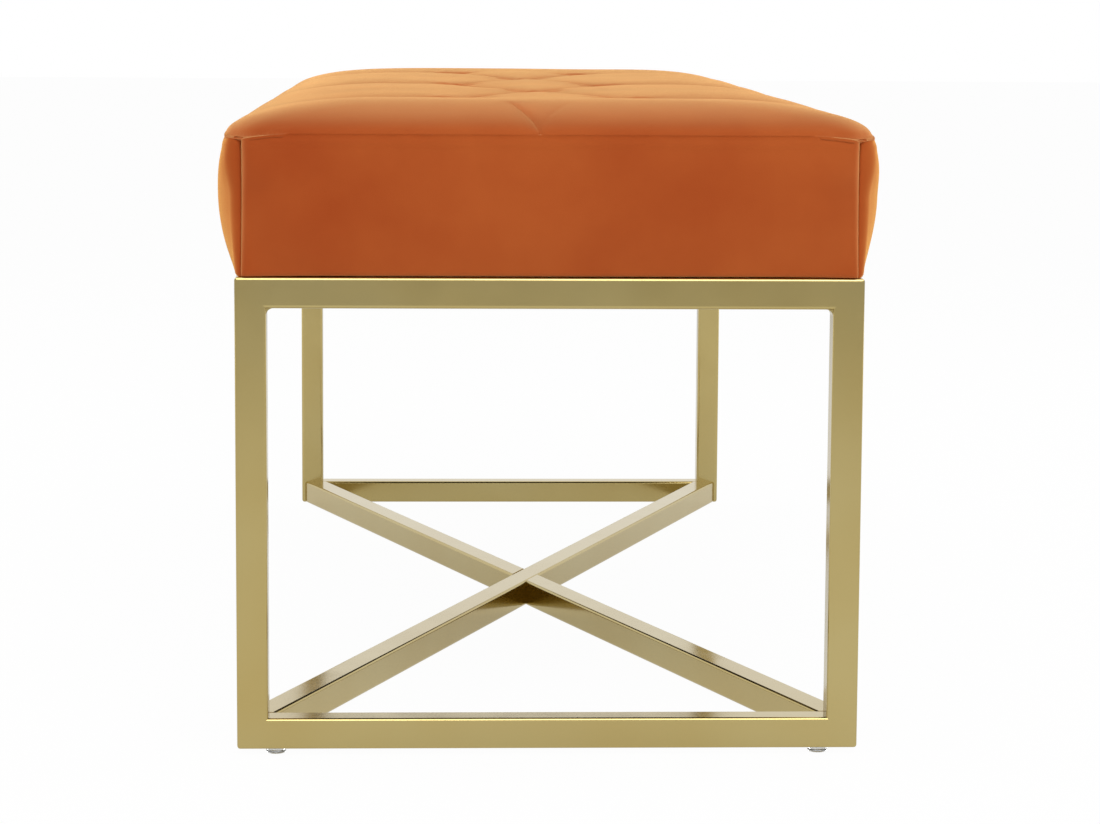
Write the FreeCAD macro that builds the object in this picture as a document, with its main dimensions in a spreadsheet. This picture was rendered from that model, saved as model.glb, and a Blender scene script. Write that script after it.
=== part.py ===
import FreeCAD
import Part
import math
import os
import re
import Sketcher
from FreeCAD import Vector

# Upholstered bench: a boxed, tufted velvet cushion on a welded frame of square steel tube.
# X runs across the bench, Y along its length and Z up. The origin is on the floor, under its middle.
# The near end faces -Y, and left and right are those of someone who stands there and looks along +Y.

# Driving sizes in millimetres
SIZES = {
    # Welded frame
    "frame_width": 440.0,
    "frame_length": 1150.0,
    "frame_height": 335.0,
    "tube_side": 22.0,
    "tube_wall": 1.5,
    "tube_corner": 2.3,
    "tube_bore_corner": 0.8,
    "ground_corner": 3.0,
    "weld_leg": 5.0,
    # Plates in the top of the frame that the seat is screwed to
    "plate_thickness": 3.0,
    "gusset_leg": 55.0,
    "gusset_nose": 8.0,
    "gusset_hole_inset": 18.0,
    "strap_width": 40.0,
    "strap_hole_spacing": 240.0,
    # Clear push-in feet
    "foot_height": 4.5,
    "foot_diameter": 14.0,
    "foot_rim": 1.6,
    "foot_inset": 27.0,
    "foot_stem_diameter": 6.0,
    "foot_stem_length": 8.0,
    "foot_barb": 0.6,
    "foot_barb_length": 3.0,
    "foot_stem_clearance": 0.15,
    # Seat screws, washers and tee nuts
    "screw_diameter": 6.0,
    "screw_length": 16.0,
    "screw_head_diameter": 12.0,
    "screw_head_height": 3.5,
    "screw_head_chamfer": 1.2,
    "screw_clearance": 0.3,
    "thread_clearance": 0.05,
    "washer_diameter": 14.0,
    "washer_height": 1.2,
    "tee_barrel_diameter": 8.0,
    "tee_barrel_length": 10.0,
    "tee_flange_diameter": 19.0,
    "tee_flange_height": 1.5,
    "tee_clearance": 0.1,
    # Plywood board and foam block, which share one plan
    "core_side_inset": 8.0,
    "core_end_inset": 6.0,
    "board_thickness": 15.0,
    # Velvet turned under the board, and the dust cover inside it
    "hem_thickness": 1.0,
    "hem_width": 25.0,
    "dust_cover_clearance": 0.5,
    # Velvet boxing over wadding: height, and how far it stands out from the foam
    "boxing_height": 99.0,
    "boxing_foot_side": 6.0,
    "boxing_middle_side": 20.0,
    "boxing_seam_side": 13.0,
    "boxing_foot_end": 5.5,
    "boxing_middle_end": 13.0,
    "boxing_seam_end": 9.5,
    "boxing_foot_corner": 4.5,
    "boxing_middle_corner": 5.0,
    "boxing_seam_corner": 8.0,
    "corner_run": 45.0,
    # Tufted top panel
    "crown_reach": 110.0,
    "crown_height": 25.0,
    "tuft_pitch": 191.0,
    "tuft_spread": 126.0,
    "tuft_depth": 19.0,
    "tuft_reach": 42.0,
    "tuft_floor": 4.0,
    "pleat_depth": 8.5,
    "pleat_reach": 28.0,
    "cusp_lift": 1.5,
    # Twines that pull the tufts down, and the washers that hold them under the board
    "twine_diameter": 2.5,
    "twine_clearance": 0.5,
    "twine_washer_diameter": 14.0,
    "twine_washer_height": 1.5,
    "twine_washer_clearance": 0.5,
}

# Heights and half sizes that several pieces share
FRAME_TOP = "(foot_height + frame_height)"
PLATE_BOTTOM = f"({FRAME_TOP} - plate_thickness)"
BOARD_BOTTOM = f"({FRAME_TOP} + hem_thickness)"
BOARD_TOP = f"({BOARD_BOTTOM} + board_thickness)"
SEAM = f"({FRAME_TOP} + boxing_height)"
POST_X = "((frame_width - tube_side) / 2)"
POST_Y = "((frame_length - tube_side) / 2)"
BAY_X = "(frame_width / 2 - tube_side)"
BAY_Y = "(frame_length / 2 - tube_side)"
CORE_X = "(frame_width / 2 - core_side_inset)"
CORE_Y = "(frame_length / 2 - core_end_inset)"

ENDS = {"near": -1, "far": 1}
SIDES = {"left": -1, "right": 1}

doc = FreeCAD.newDocument("Bench")
sheet = doc.addObject("Spreadsheet::Sheet", "Sizes")
for row, (alias, number) in enumerate(SIZES.items(), 1):
    sheet.set(f"A{row}", alias.replace("_", " "))
    sheet.set(f"B{row}", str(number))
    sheet.setAlias(f"B{row}", alias)
doc.recompute()

subparts = []


def sized(formula):
    """Point each size that a formula names at its cell of the sheet."""
    return re.sub(r"[a-z_]+", lambda word: f"Sizes.{word[0]}" if word[0] in SIZES else word[0], formula)


def value(formula):
    return float(sheet.evalExpression(sized(formula)))


def bind(thing, prop, formula):
    thing.setExpression(prop, sized(formula))


def place(thing, x, y, z):
    thing.Placement.Base = Vector(value(x), value(y), value(z))
    bind(thing, "Placement.Base.x", x)
    bind(thing, "Placement.Base.y", y)
    bind(thing, "Placement.Base.z", z)


def new_body(name):
    body = doc.addObject("PartDesign::Body", name)
    body.Label = name
    return body


def new_sketch(body, name, plane):
    sketch = body.newObject("Sketcher::SketchObject", name)
    origin_plane = [feature for feature in body.Origin.OriginFeatures if feature.Role == plane][0]
    sketch.AttachmentSupport = [(origin_plane, "")]
    sketch.MapMode = "FlatFace"
    return sketch


def hold(sketch, kind, geometry, point, formula):
    """Give one point of a sketch its distance from the origin."""
    index = sketch.addConstraint(Sketcher.Constraint(kind, -1, 1, geometry, point, value(formula)))
    name = f"held_{index}"
    sketch.renameConstraint(index, name)
    bind(sketch, f"Constraints.{name}", formula)


def set_radius(sketch, geometry, formula):
    index = sketch.addConstraint(Sketcher.Constraint("Radius", geometry, value(formula)))
    name = f"radius_{index}"
    sketch.renameConstraint(index, name)
    bind(sketch, f"Constraints.{name}", formula)


def draw_polygon(sketch, points):
    corners = [Vector(value(x), value(y), 0) for x, y in points]
    following = corners[1:] + corners[:1]
    lines = [sketch.addGeometry(Part.LineSegment(a, b), False) for a, b in zip(corners, following)]
    for line, after in zip(lines, lines[1:] + lines[:1]):
        sketch.addConstraint(Sketcher.Constraint("Coincident", line, 2, after, 1))
    for line, (x, y) in zip(lines, points):
        hold(sketch, "DistanceX", line, 1, x)
        hold(sketch, "DistanceY", line, 1, y)


def draw_rectangle(sketch, half_width, half_height):
    left, right = f"-{half_width}", half_width
    low, high = f"-{half_height}", half_height
    draw_polygon(sketch, [(left, low), (right, low), (right, high), (left, high)])


def draw_circle(sketch, x, y, radius):
    centre = Vector(value(x), value(y), 0)
    circle = sketch.addGeometry(Part.Circle(centre, Vector(0, 0, 1), value(radius)), False)
    hold(sketch, "DistanceX", circle, 3, x)
    hold(sketch, "DistanceY", circle, 3, y)
    set_radius(sketch, circle, radius)


def draw_rounded_rectangle(sketch, width, height, corner):
    """Four lines and four tangent corner arcs, centred on the sketch's origin."""
    half_x, half_y, radius = value(width) / 2, value(height) / 2, value(corner)
    flat_x, flat_y = half_x - radius, half_y - radius
    ends = [
        (Vector(-flat_x, -half_y, 0), Vector(flat_x, -half_y, 0)),
        (Vector(half_x, -flat_y, 0), Vector(half_x, flat_y, 0)),
        (Vector(flat_x, half_y, 0), Vector(-flat_x, half_y, 0)),
        (Vector(-half_x, flat_y, 0), Vector(-half_x, -flat_y, 0)),
    ]
    centres = [Vector(flat_x, -flat_y, 0), Vector(flat_x, flat_y, 0),
               Vector(-flat_x, flat_y, 0), Vector(-flat_x, -flat_y, 0)]
    lines = [sketch.addGeometry(Part.LineSegment(a, b), False) for a, b in ends]
    arcs = []
    for quarter, centre in enumerate(centres):
        start = (quarter - 1) * math.pi / 2
        circle = Part.Circle(centre, Vector(0, 0, 1), radius)
        arcs.append(sketch.addGeometry(Part.ArcOfCircle(circle, start, start + math.pi / 2), False))
    for line, arc, after in zip(lines, arcs, lines[1:] + lines[:1]):
        sketch.addConstraint(Sketcher.Constraint("Tangent", line, 2, arc, 1))
        sketch.addConstraint(Sketcher.Constraint("Tangent", arc, 2, after, 1))
    for line, direction in zip(lines, ("Horizontal", "Vertical", "Horizontal", "Vertical")):
        sketch.addConstraint(Sketcher.Constraint(direction, line))
    for arc in arcs[1:]:
        sketch.addConstraint(Sketcher.Constraint("Equal", arcs[0], arc))
    set_radius(sketch, arcs[0], corner)
    hold(sketch, "DistanceX", arcs[0], 3, f"({width}) / 2 - {corner}")
    hold(sketch, "DistanceY", arcs[0], 3, f"{corner} - ({height}) / 2")
    hold(sketch, "DistanceX", arcs[2], 3, f"{corner} - ({width}) / 2")
    hold(sketch, "DistanceY", arcs[2], 3, f"({height}) / 2 - {corner}")


def pad(body, sketch, length, sides="One side"):
    feature = body.newObject("PartDesign::Pad", f"{sketch.Name}_pad")
    feature.Profile = sketch
    feature.SideType = sides
    bind(feature, "Length", length)
    doc.recompute()
    return feature


def pocket(body, sketch, length=None, sides="One side", upwards=False):
    """Cut a sketch through the whole body, or to a depth. One that removes nothing is a mistake."""
    before = body.Shape.Volume
    feature = body.newObject("PartDesign::Pocket", f"{sketch.Name}_cut")
    feature.Profile = sketch
    feature.SideType = sides
    feature.Reversed = upwards
    if length:
        bind(feature, "Length", length)
    else:
        feature.Type = "ThroughAll"
    doc.recompute()
    if body.Shape.Volume >= before:
        raise ValueError(f"{feature.Name} cuts nothing from {body.Label}")
    return feature


def revolve(body, points):
    """Turn an outline, given as radius and height, about the body's Z axis."""
    sketch = new_sketch(body, f"{body.Name}_outline", "XZ_Plane")
    draw_polygon(sketch, points)
    feature = body.newObject("PartDesign::Revolution", f"{body.Name}_turned")
    feature.Profile = sketch
    feature.ReferenceAxis = (sketch, ["V_Axis"])
    feature.Angle = 360
    doc.recompute()
    return feature


def keep(name, thing):
    """Hand a finished sub-part over under its own name."""
    thing.Label = name
    subparts.append(thing)


def keep_shape(name, shape):
    feature = doc.addObject("Part::Feature", name)
    feature.Shape = shape
    feature.Placement = FreeCAD.Placement()
    keep(name, feature)


def keep_copies(name, pattern_piece, places, height):
    """One node that holds a copy of a small turned piece at each place."""
    doc.recompute()
    copies = []
    for x, y in places:
        copy = pattern_piece.Shape.copy()
        copy.translate(Vector(value(x), value(y), value(height)))
        copies.append(copy)
    keep_shape(name, Part.makeCompound(copies))


# Square steel tube

SECTION_PLANES = {"X": "YZ_Plane", "Y": "XZ_Plane", "Z": "XY_Plane"}


def square_tube(name, axis, length):
    body = new_body(name)
    section = new_sketch(body, f"{name}_section", SECTION_PLANES[axis])
    draw_rounded_rectangle(section, "tube_side", "tube_side", "tube_corner")
    bore = "tube_side - 2 * tube_wall"
    draw_rounded_rectangle(section, bore, bore, "tube_bore_corner")
    pad(body, section, length, "Symmetric")
    return body


def mitre_ends(body, axis, length, inner):
    """Cut both ends at 45 degrees, so that the side towards the inner sign is the short one."""
    sketch = new_sketch(body, f"{body.Name}_mitres", "XZ_Plane")
    for end in (-1, 1):
        # A right triangle whose slope crosses the tube from its outer corner to its inner one
        mitre_middle = f"(({length}) / 2 - tube_side / 2)"
        along = [f"{end} * ({mitre_middle} - tube_side)"]
        along += [f"{end} * ({mitre_middle} + tube_side)"] * 2
        across = [f"{inner} * tube_side", f"{-inner} * tube_side", f"{inner} * tube_side"]
        draw_polygon(sketch, list(zip(along, across) if axis == "X" else zip(across, along)))
    pocket(body, sketch, sides="Symmetric")


def draw_weld(sketch, side):
    """Hollow fillet of weld in the corner between the top rail's underside and a post."""
    inner_x, post_x = f"{side} * ({BAY_X} - weld_leg)", f"{side} * {BAY_X}"
    under, low = "-tube_side / 2", "-tube_side / 2 - weld_leg"
    corners = [(inner_x, under), (post_x, under), (post_x, low)]
    points = [Vector(value(x), value(z), 0) for x, z in corners]
    flat = sketch.addGeometry(Part.LineSegment(points[0], points[1]), False)
    upright = sketch.addGeometry(Part.LineSegment(points[1], points[2]), False)
    circle = Part.Circle(Vector(value(inner_x), value(low), 0), Vector(0, 0, 1), value("weld_leg"))
    start = 0 if side > 0 else math.pi / 2
    hollow = sketch.addGeometry(Part.ArcOfCircle(circle, start, start + math.pi / 2), False)
    low_end, high_end = (1, 2) if side > 0 else (2, 1)
    sketch.addConstraint(Sketcher.Constraint("Coincident", flat, 2, upright, 1))
    sketch.addConstraint(Sketcher.Constraint("Coincident", upright, 2, hollow, low_end))
    sketch.addConstraint(Sketcher.Constraint("Coincident", flat, 1, hollow, high_end))
    for line, point, (x, z) in ((flat, 1, corners[0]), (flat, 2, corners[1]), (upright, 2, corners[2])):
        hold(sketch, "DistanceX", line, point, x)
        hold(sketch, "DistanceY", line, point, z)
    set_radius(sketch, hollow, "weld_leg")


# End frames: two posts, a top rail and a floor rail with mitred corners, welded and ground round

def end_outline(end_name, end):
    """The rounded outline that the four mitred pieces of one end frame are ground to."""
    body = new_body(f"{end_name}_ground_outline")
    sketch = new_sketch(body, f"{end_name}_outline", "XZ_Plane")
    draw_rounded_rectangle(sketch, "frame_width", "frame_height", "ground_corner")
    pad(body, sketch, "2 * tube_side", "Symmetric")
    place(body, "0", f"{end} * {POST_Y}", "foot_height + frame_height / 2")
    return body


def keep_ground(name, body, outline):
    piece = doc.addObject("Part::Common", name)
    piece.Base = body
    piece.Tool = outline
    doc.recompute()
    keep(name, piece)


for end_name, end in ENDS.items():
    outline = end_outline(end_name, end)
    frame_y = f"{end} * {POST_Y}"
    for side_name, side in SIDES.items():
        post = square_tube(f"{end_name}_{side_name}_post_tube", "Z", "frame_height")
        mitre_ends(post, "Z", "frame_height", -side)
        place(post, f"{side} * {POST_X}", frame_y, "foot_height + frame_height / 2")
        keep_ground(f"{end_name}_{side_name}_post", post, outline)

    top_rail = square_tube(f"{end_name}_top_rail_tube", "X", "frame_width")
    mitre_ends(top_rail, "X", "frame_width", -1)
    for side_name, side in SIDES.items():
        weld = new_sketch(top_rail, f"{end_name}_{side_name}_weld", "XZ_Plane")
        draw_weld(weld, side)
        pad(top_rail, weld, "tube_side - 2 * tube_corner", "Symmetric")
    place(top_rail, "0", frame_y, f"{FRAME_TOP} - tube_side / 2")
    keep_ground(f"{end_name}_top_rail", top_rail, outline)

    floor_rail = square_tube(f"{end_name}_floor_rail_tube", "X", "frame_width")
    mitre_ends(floor_rail, "X", "frame_width", 1)
    stem_holes = new_sketch(floor_rail, f"{end_name}_stem_holes", "XY_Plane")
    for side in SIDES.values():
        stem_radius = "foot_stem_diameter / 2 + foot_stem_clearance"
        draw_circle(stem_holes, f"{side} * (frame_width / 2 - foot_inset)", "0", stem_radius)
    pocket(floor_rail, stem_holes)
    place(floor_rail, "0", frame_y, "foot_height + tube_side / 2")
    keep_ground(f"{end_name}_floor_rail", floor_rail, outline)


# Long rails under the seat, between the end frames

for side_name, side in SIDES.items():
    side_rail = square_tube(f"{side_name}_side_rail", "Y", "frame_length - 2 * tube_side")
    place(side_rail, f"{side} * {POST_X}", "0", f"{FRAME_TOP} - tube_side / 2")
    keep(f"{side_name}_side_rail", side_rail)


# Floor brace: an X from corner to corner, with one bar whole and the other in two halves

BRACE_REACH = "(frame_width - tube_side)"
BRACE_RUN = "(frame_length - tube_side)"
BRACE_LENGTH = f"sqrt({BRACE_REACH} ^ 2 + {BRACE_RUN} ^ 2)"
BRACE_SLOPE = f"({BRACE_REACH} / {BRACE_RUN})"
BRACE_END = f"({BAY_Y} * {BRACE_LENGTH} / {BRACE_RUN})"
CROSSING_SLOPE = f"(({BRACE_RUN} ^ 2 - {BRACE_REACH} ^ 2) / (2 * {BRACE_REACH} * {BRACE_RUN}))"
CROSSING_END = f"(tube_side / 2 * {BRACE_LENGTH} ^ 2 / (2 * {BRACE_REACH} * {BRACE_RUN}))"


def slanted_cut(sketch, line_height, slope, limit):
    """What lies between a slanted line across the bar and a limit further along it."""
    draw_polygon(sketch, [
        ("-tube_side", f"{line_height} - tube_side * {slope}"),
        ("tube_side", f"{line_height} + tube_side * {slope}"),
        ("tube_side", limit),
        ("-tube_side", limit),
    ])


def brace_bar(name, lean, half=0):
    """A floor bar that leans to the right (1) or left (-1) as it runs away from the near end."""
    bar = square_tube(name, "Y", BRACE_LENGTH)
    ends = new_sketch(bar, f"{name}_ends", "XY_Plane")
    for end in (-1, 1):
        if end == -half:
            slanted_cut(ends, f"{half} * {CROSSING_END}", CROSSING_SLOPE, f"{-half} * {BRACE_LENGTH}")
        else:
            slanted_cut(ends, f"{end} * {BRACE_END}", f"({lean} * {BRACE_SLOPE})", f"{end} * {BRACE_LENGTH}")
    pocket(bar, ends, sides="Symmetric")
    place(bar, "0", "0", "foot_height + tube_side / 2")
    turn = math.degrees(-lean * math.atan(value(BRACE_SLOPE)))
    bar.Placement.Rotation = FreeCAD.Rotation(Vector(0, 0, 1), turn)
    bind(bar, "Placement.Rotation.Angle", f"{-lean} * atan({BRACE_SLOPE})")
    keep(name, bar)


brace_bar("floor_brace", 1)
brace_bar("near_half_brace", -1, half=-1)
brace_bar("far_half_brace", -1, half=1)


# Gussets in the top corners and a strap at mid-length, flush with the top of the rails

screw_places = []
HOLE_RADIUS = "screw_diameter / 2 + screw_clearance"

for end_name, end in ENDS.items():
    for side_name, side in SIDES.items():
        gusset = new_body(f"{end_name}_{side_name}_gusset")
        plan = new_sketch(gusset, f"{gusset.Name}_plan", "XY_Plane")
        draw_polygon(plan, [
            ("0", "0"),
            (f"{-side} * gusset_leg", "0"),
            (f"{-side} * gusset_leg", f"{-end} * gusset_nose"),
            (f"{-side} * gusset_nose", f"{-end} * gusset_leg"),
            ("0", f"{-end} * gusset_leg"),
        ])
        draw_circle(plan, f"{-side} * gusset_hole_inset", f"{-end} * gusset_hole_inset", HOLE_RADIUS)
        pad(gusset, plan, "plate_thickness")
        place(gusset, f"{side} * {BAY_X}", f"{end} * {BAY_Y}", PLATE_BOTTOM)
        keep(gusset.Name, gusset)
        hole_x = f"{side} * ({BAY_X} - gusset_hole_inset)"
        hole_y = f"{end} * ({BAY_Y} - gusset_hole_inset)"
        screw_places.append((hole_x, hole_y))

strap = new_body("seat_strap")
plan = new_sketch(strap, "seat_strap_plan", "XY_Plane")
draw_rectangle(plan, BAY_X, "strap_width / 2")
for side in SIDES.values():
    draw_circle(plan, f"{side} * strap_hole_spacing / 2", "0", HOLE_RADIUS)
    screw_places.append((f"{side} * strap_hole_spacing / 2", "0"))
pad(strap, plan, "plate_thickness")
place(strap, "0", "0", PLATE_BOTTOM)
keep("seat_strap", strap)


# Clear plastic feet, each with a barbed stem pushed into the floor rail

STEM_RADIUS = "foot_stem_diameter / 2"
STEM_TOP = "(foot_height + foot_stem_length)"
BARB_BOTTOM = f"({STEM_TOP} - foot_barb_length)"

for end_name, end in ENDS.items():
    for side_name, side in SIDES.items():
        foot = new_body(f"{end_name}_{side_name}_foot")
        turned = revolve(foot, [
            ("0", "0"),
            ("foot_diameter / 2", "0"),
            ("foot_diameter / 2", "foot_height"),
            (STEM_RADIUS, "foot_height"),
            (STEM_RADIUS, BARB_BOTTOM),
            (f"{STEM_RADIUS} + foot_barb", BARB_BOTTOM),
            (f"{STEM_RADIUS} - foot_barb", STEM_TOP),
            ("0", STEM_TOP),
        ])
        rim_names = []
        for index, edge in enumerate(turned.Shape.Edges, 1):
            goes_round = edge.BoundBox.XMin < 0 < edge.BoundBox.XMax
            if goes_round and edge.BoundBox.ZMax < value("foot_height") / 2:
                rim_names.append(f"Edge{index}")
        rim = foot.newObject("PartDesign::Fillet", f"{foot.Name}_rim")
        rim.Base = (turned, rim_names)
        bind(rim, "Radius", "foot_rim")
        place(foot, f"{side} * (frame_width / 2 - foot_inset)", f"{end} * {POST_Y}", "0")
        keep(foot.Name, foot)


# Tufts lie in rows across the bench: a pair, then one on the middle line, and so on

tuft_places = []
for row in range(-2, 3):
    row_y = f"{row} * tuft_pitch"
    if row % 2:
        tuft_places.append(("0", row_y))
    else:
        tuft_places.append(("-tuft_spread / 2", row_y))
        tuft_places.append(("tuft_spread / 2", row_y))


# Plywood board, drilled for the tee nuts and the twines

board = new_body("seat_board")
plan = new_sketch(board, "board_plan", "XY_Plane")
draw_rectangle(plan, CORE_X, CORE_Y)
pad(board, plan, "board_thickness")

TWINE_HOLE = "twine_diameter / 2 + twine_clearance"
TWINE_RECESS = "twine_washer_diameter / 2 + twine_washer_clearance"
drilled = new_sketch(board, "drilled_holes", "XY_Plane")
for x, y in screw_places:
    draw_circle(drilled, x, y, "tee_barrel_diameter / 2 + tee_clearance")
for x, y in tuft_places:
    draw_circle(drilled, x, y, TWINE_HOLE)
pocket(board, drilled, upwards=True)

twine_recesses = new_sketch(board, "twine_recesses", "XY_Plane")
for x, y in tuft_places:
    draw_circle(twine_recesses, x, y, TWINE_RECESS)
pocket(board, twine_recesses, "twine_washer_height", upwards=True)

tee_recesses = new_sketch(board, "tee_recesses", "XY_Plane")
bind(tee_recesses, "AttachmentOffset.Base.z", "board_thickness")
for x, y in screw_places:
    draw_circle(tee_recesses, x, y, "tee_flange_diameter / 2 + tee_clearance")
pocket(board, tee_recesses, "tee_flange_height")
place(board, "0", "0", BOARD_BOTTOM)
keep("seat_board", board)


# Foam block on the board, with a hole for each twine

foam = new_body("foam_block")
plan = new_sketch(foam, "foam_plan", "XY_Plane")
draw_rectangle(plan, CORE_X, CORE_Y)
for x, y in tuft_places:
    draw_circle(plan, x, y, TWINE_HOLE)
pad(foam, plan, f"{SEAM} - {BOARD_TOP}")
place(foam, "0", "0", BOARD_TOP)
keep("foam_block", foam)


# Dust cover under the board, inside the velvet's hem

dust_cover = new_body("dust_cover")
plan = new_sketch(dust_cover, "dust_cover_plan", "XY_Plane")
HEM_AND_GAP = "(hem_width + dust_cover_clearance)"
draw_rectangle(plan, f"({CORE_X} - {HEM_AND_GAP})", f"({CORE_Y} - {HEM_AND_GAP})")
for x, y in screw_places:
    draw_circle(plan, x, y, HOLE_RADIUS)
pad(dust_cover, plan, "hem_thickness")
place(dust_cover, "0", "0", FRAME_TOP)
keep("dust_cover", dust_cover)


# Seat screws from below, each through a washer and a plate into a tee nut in the board

screw = new_body("screw_pattern")
revolve(screw, [
    ("0", "-screw_head_height"),
    ("screw_head_diameter / 2 - screw_head_chamfer", "-screw_head_height"),
    ("screw_head_diameter / 2", "screw_head_chamfer - screw_head_height"),
    ("screw_head_diameter / 2", "0"),
    ("screw_diameter / 2", "0"),
    ("screw_diameter / 2", "screw_length"),
    ("0", "screw_length"),
])
keep_copies("seat_screws", screw, screw_places, f"{PLATE_BOTTOM} - washer_height")

washer = new_body("washer_pattern")
revolve(washer, [
    (HOLE_RADIUS, "-washer_height"),
    ("washer_diameter / 2", "-washer_height"),
    ("washer_diameter / 2", "0"),
    (HOLE_RADIUS, "0"),
])
keep_copies("seat_washers", washer, screw_places, PLATE_BOTTOM)

tee_nut = new_body("tee_nut_pattern")
TEE_BORE = "screw_diameter / 2 + thread_clearance"
revolve(tee_nut, [
    (TEE_BORE, "-tee_barrel_length"),
    ("tee_barrel_diameter / 2", "-tee_barrel_length"),
    ("tee_barrel_diameter / 2", "-tee_flange_height"),
    ("tee_flange_diameter / 2", "-tee_flange_height"),
    ("tee_flange_diameter / 2", "0"),
    (TEE_BORE, "0"),
])
keep_copies("seat_tee_nuts", tee_nut, screw_places, BOARD_TOP)


# Twines from the tufts down through the foam and the board, and the washers that they are tied to

twine = new_body("twine_pattern")
revolve(twine, [
    ("0", "0"),
    ("twine_diameter / 2", "0"),
    ("twine_diameter / 2", f"{SEAM} - {BOARD_BOTTOM} - twine_washer_height"),
    ("0", f"{SEAM} - {BOARD_BOTTOM} - twine_washer_height"),
])
keep_copies("tuft_twines", twine, tuft_places, f"{BOARD_BOTTOM} + twine_washer_height")

twine_washer = new_body("twine_washer_pattern")
revolve(twine_washer, [
    ("0", "0"),
    ("twine_washer_diameter / 2", "0"),
    ("twine_washer_diameter / 2", "twine_washer_height"),
    ("0", "twine_washer_height"),
])
keep_copies("tuft_washers", twine_washer, tuft_places, BOARD_BOTTOM)


# Velvet cover: outlines with flat stretches that curve in to each corner seam

def drawn_arc(flat_end, outward, along, draw):
    """Arc that leaves a flat side and draws in to the corner seam."""
    run = value("corner_run")
    radius = (run ** 2 + draw ** 2) / (2 * draw)
    centre = flat_end - outward * radius
    half_turn = math.asin(run / radius) / 2
    middle = centre + outward * (radius * math.cos(half_turn)) + along * (radius * math.sin(half_turn))
    corner = flat_end + along * run - outward * draw
    return Part.Arc(flat_end, middle, corner).toShape()


def cover_outline(side, end, corner, height, inset=0.0):
    """Closed outline of the cover at one height, from how far it stands out from the foam."""
    side_x = value(f"{CORE_X} + {side}") - inset
    end_y = value(f"{CORE_Y} + {end}") - inset
    side_draw = value(f"{side} - {corner}")
    end_draw = value(f"{end} - {corner}")
    flat_y = end_y - end_draw - value("corner_run")
    flat_x = side_x - side_draw - value("corner_run")
    edges = []
    for sign in (-1, 1):
        flat_side = [Vector(sign * side_x, along * flat_y, height) for along in (-1, 1)]
        flat_end = [Vector(across * flat_x, sign * end_y, height) for across in (-1, 1)]
        edges.append(Part.LineSegment(*flat_side).toShape())
        edges.append(Part.LineSegment(*flat_end).toShape())
        for turn in (-1, 1):
            out_x, out_y = Vector(sign, 0, 0), Vector(0, turn, 0)
            edges.append(drawn_arc(Vector(sign * side_x, turn * flat_y, height), out_x, out_y, side_draw))
            out_x, out_y = Vector(turn, 0, 0), Vector(0, sign, 0)
            edges.append(drawn_arc(Vector(turn * flat_x, sign * end_y, height), out_y, out_x, end_draw))
    return Part.Wire(Part.__sortEdges__(edges))


# Boxing: the four walls of the cover, wadded so that they swell between drawn-in corners

frame_top = value(FRAME_TOP)
seam = value(SEAM)
boxing_form = Part.makeLoft([
    cover_outline("boxing_foot_side", "boxing_foot_end", "boxing_foot_corner", frame_top),
    cover_outline("boxing_middle_side", "boxing_middle_end", "boxing_middle_corner", (frame_top + seam) / 2),
    cover_outline("boxing_seam_side", "boxing_seam_end", "boxing_seam_corner", seam),
], True, False)


def block(half_x, half_y, bottom, top):
    corner = Vector(-value(half_x), -value(half_y), bottom)
    return Part.makeBox(2 * value(half_x), 2 * value(half_y), top - bottom, corner)


# How far the cutting blocks reach past what they cut
room = value("boxing_height")
core = block(CORE_X, CORE_Y, value(BOARD_BOTTOM), seam + room)
hem_window = block(f"({CORE_X} - hem_width)", f"({CORE_Y} - hem_width)", frame_top - room, seam)
boxing = boxing_form.cut([core, hem_window])


def wedge(outward, half_wall, wall_distance):
    """Space on one side of the core, bounded by 45 degree planes through its corners."""
    along = Vector(-outward.y, outward.x, 0)
    below = Vector(0, 0, frame_top - room)
    inward = -2 * value("hem_width")
    points = []
    for step, sign in ((inward, -1), (inward, 1), (room, 1), (room, -1)):
        points.append(outward * (wall_distance + step) + along * (sign * (half_wall + step)) + below)
    face = Part.Face(Part.makePolygon(points + points[:1]))
    return face.extrude(Vector(0, 0, seam - frame_top + 2 * room))


core_x, core_y = value(CORE_X), value(CORE_Y)
for end_name, end in ENDS.items():
    panel = boxing.common(wedge(Vector(0, end, 0), core_x, core_y))
    keep_shape(f"{end_name}_end_panel", panel)
for side_name, side in SIDES.items():
    panel = boxing.common(wedge(Vector(side, 0, 0), core_y, core_x))
    keep_shape(f"{side_name}_side_panel", panel)


# Tufted top panel: curves over from the seam to a low crown, then is drawn down at tufts and along pleats

SEAM_FORM = ("boxing_seam_side", "boxing_seam_end", "boxing_seam_corner")
CROWN_STEPS = 12

crown_outlines = []
for step in range(CROWN_STEPS + 1):
    turn = math.pi / 2 * step / CROWN_STEPS
    inset = value("crown_reach") * (1 - math.cos(turn))
    height = seam + value("crown_height") * math.sin(turn)
    crown_outlines.append(cover_outline(*SEAM_FORM, height, inset))
crown = Part.makeLoft(crown_outlines, True, False)
crest = seam + value("crown_height")


def cusp_outline(reach, depth, floor, across):
    """Half of a cut whose wall is rounded over at the top: from its lowest point out and up."""
    lift = value("cusp_lift")
    drop = depth + lift
    radius = (reach ** 2 + drop ** 2) / (2 * drop)
    turn = math.asin(reach / radius)
    up = Vector(0, 0, 1)
    bottom = across * floor - up * depth
    middle = (across * (floor + reach - radius * math.sin(turn / 2))
              + up * (lift - radius + radius * math.cos(turn / 2)))
    top = across * (floor + reach) + up * lift
    return Part.Arc(bottom, middle, top).toShape(), bottom, top


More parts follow.
